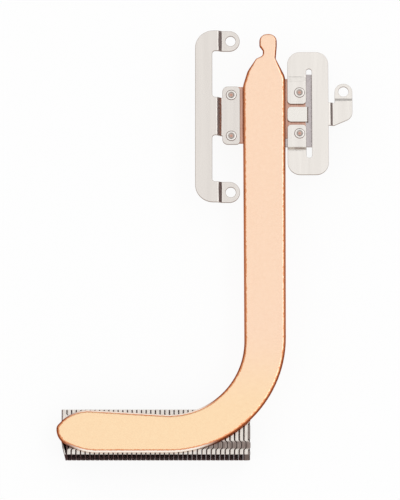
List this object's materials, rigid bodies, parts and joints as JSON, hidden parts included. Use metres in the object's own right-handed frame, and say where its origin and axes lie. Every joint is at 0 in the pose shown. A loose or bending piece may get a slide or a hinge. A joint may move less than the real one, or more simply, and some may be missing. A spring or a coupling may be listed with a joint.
{
  "type": "console heatsink",
  "caption": "Flattened copper heat pipe bent to an L, with a stack of hooked fins under its short leg and a contact plate with riveted spring brackets under its long leg.",
  "frame": {"origin": "centre of the chip's place on the base plate's contact face", "axes": "-Z towards the chip, +Z out of the pipe's flat top; the pipe's long leg runs along -Y from the chip and its short leg with the fins along -X"},
  "size_m": [0.0602, 0.0887, 0.0076],
  "materials": {
    "pipe_copper": "pressed bare copper",
    "plate_copper": "milled bare copper",
    "spring_steel": "rolled, bare",
    "frame_steel": "rolled, bare",
    "rivet_copper": "pressed bare copper",
    "fin_metal": "stamped, plated"
  },
  "bodies": {
    "root": {"heat_pipe": "pipe_copper", "base_plate": "plate_copper", "left_bracket": "spring_steel", "right_bracket": "spring_steel", "clamp_frame": "frame_steel", "rivets": "rivet_copper", "fin_01": "fin_metal", "fin_02": "fin_metal", "fin_03": "fin_metal", "fin_04": "fin_metal", "fin_05": "fin_metal", "fin_06": "fin_metal", "fin_07": "fin_metal", "fin_08": "fin_metal", "fin_09": "fin_metal", "fin_10": "fin_metal", "fin_11": "fin_metal", "fin_12": "fin_metal", "fin_13": "fin_metal", "fin_14": "fin_metal", "fin_15": "fin_metal", "fin_16": "fin_metal", "fin_17": "fin_metal", "fin_18": "fin_metal", "fin_19": "fin_metal", "fin_20": "fin_metal", "fin_21": "fin_metal", "fin_22": "fin_metal", "fin_23": "fin_metal", "fin_24": "fin_metal", "fin_25": "fin_metal", "fin_26": "fin_metal", "fin_27": "fin_metal", "fin_28": "fin_metal", "fin_29": "fin_metal", "fin_30": "fin_metal", "fin_31": "fin_metal", "fin_32": "fin_metal", "fin_33": "fin_metal", "fin_34": "fin_metal", "fin_35": "fin_metal", "fin_36": "fin_metal", "fin_37": "fin_metal", "fin_38": "fin_metal", "fin_39": "fin_metal", "fin_40": "fin_metal", "fin_41": "fin_metal"}
  },
  "joints": []
}
